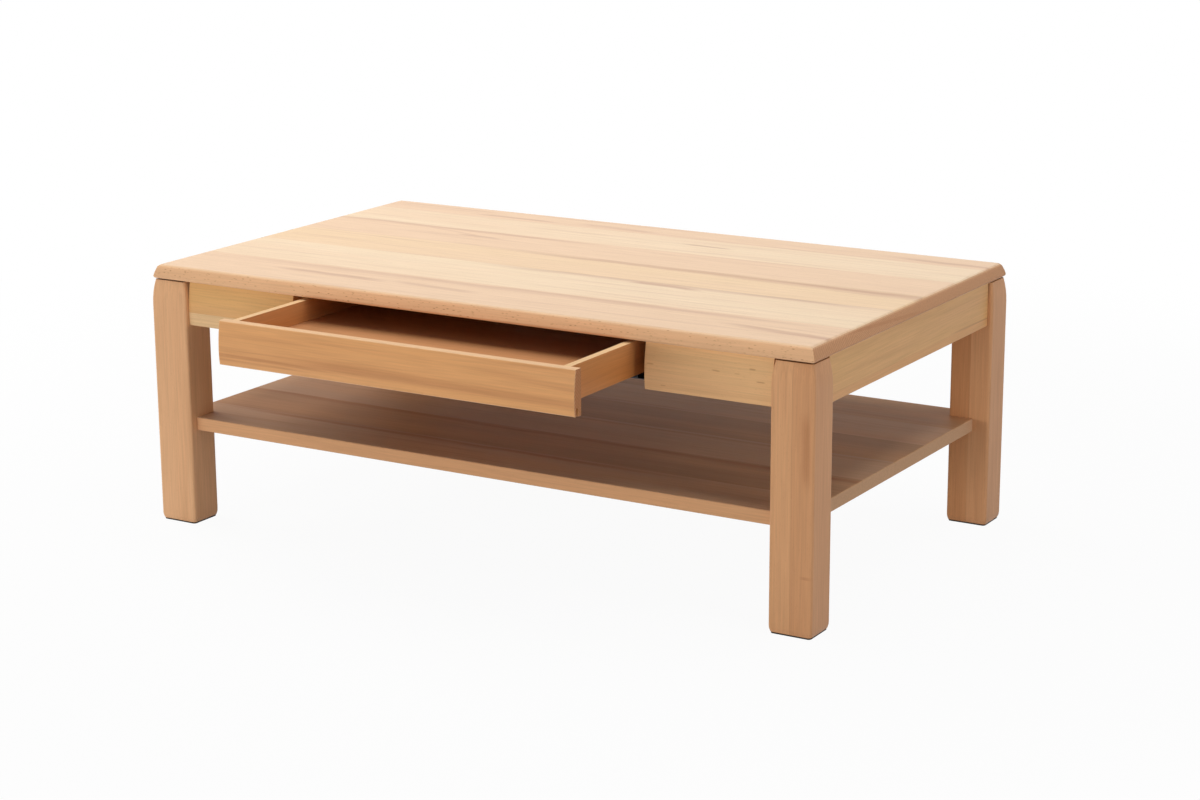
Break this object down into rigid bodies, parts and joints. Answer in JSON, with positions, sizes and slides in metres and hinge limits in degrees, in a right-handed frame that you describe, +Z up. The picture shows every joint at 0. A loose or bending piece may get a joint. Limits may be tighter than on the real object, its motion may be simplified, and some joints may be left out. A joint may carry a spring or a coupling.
{
  "type": "coffee table with drawer",
  "caption": "Low rectangular solid beech table with a slanted top edge, a slightly bowed front, stout legs, a lower shelf and a wide handleless drawer that slides out of the front on runners.",
  "frame": {"origin": "On the floor, midway between the four legs.", "axes": "+X runs along the table to the right as seen from the drawer's side, -Y is the front that the drawer opens to, +Z is up. The drawer stands partly open, as pictured."},
  "size_m": [1.2, 0.881, 0.43],
  "materials": {
    "beech": "oiled",
    "beech_plywood": "oiled",
    "zinc_steel": "zinc plated",
    "dark_steel": "dark grey coated",
    "nylon": "natural",
    "black_plastic": "fine grain",
    "felt": "pressed felt"
  },
  "bodies": {
    "frame": {"table_top": "beech", "leg_front_right": "beech", "leg_front_left": "beech", "leg_back_right": "beech", "leg_back_left": "beech", "glide_front_right": "felt", "glide_front_left": "felt", "glide_back_right": "felt", "glide_back_left": "felt", "front_apron_right": "beech", "front_apron_left": "beech", "back_apron": "beech", "right_apron": "beech", "left_apron": "beech", "corner_block_front_right": "beech", "corner_block_front_left": "beech", "corner_block_back_right": "beech", "corner_block_back_left": "beech", "leg_bolts": "zinc_steel", "leg_washers": "zinc_steel", "leg_nuts": "zinc_steel", "bearer_right": "beech", "bearer_left": "beech", "shelf": "beech", "top_brackets": "zinc_steel", "cabinet_rail_right": "dark_steel", "cabinet_rail_left": "dark_steel"},
    "middle_right": {"middle_rail_right": "dark_steel", "slide_pads_right": "nylon"},
    "middle_left": {"middle_rail_left": "dark_steel", "slide_pads_left": "nylon"},
    "drawer": {"drawer_front": "beech", "drawer_side_right": "beech", "drawer_side_left": "beech", "drawer_back": "beech", "drawer_bottom": "beech_plywood", "drawer_rail_right": "dark_steel", "drawer_rail_left": "dark_steel", "lock_clip_right": "black_plastic", "lock_clip_left": "black_plastic"}
  },
  "joints": [
    {"name": "drawer_slide", "type": "slide", "parent": "frame", "child": "drawer", "axis": [0, -1, 0], "range_m": [-0.189, 0.261]},
    {"name": "middle_slide_right", "type": "slide", "parent": "frame", "child": "middle_right", "axis": [0, -1, 0], "range_m": [-0.0945, 0.1305]},
    {"name": "middle_slide_left", "type": "slide", "parent": "frame", "child": "middle_left", "axis": [0, -1, 0], "range_m": [-0.0945, 0.1305]}
  ],
  "couplings": [
    {"joint": "middle_slide_right", "follows": "drawer_slide", "ratio": 0.5},
    {"joint": "middle_slide_left", "follows": "drawer_slide", "ratio": 0.5}
  ]
}
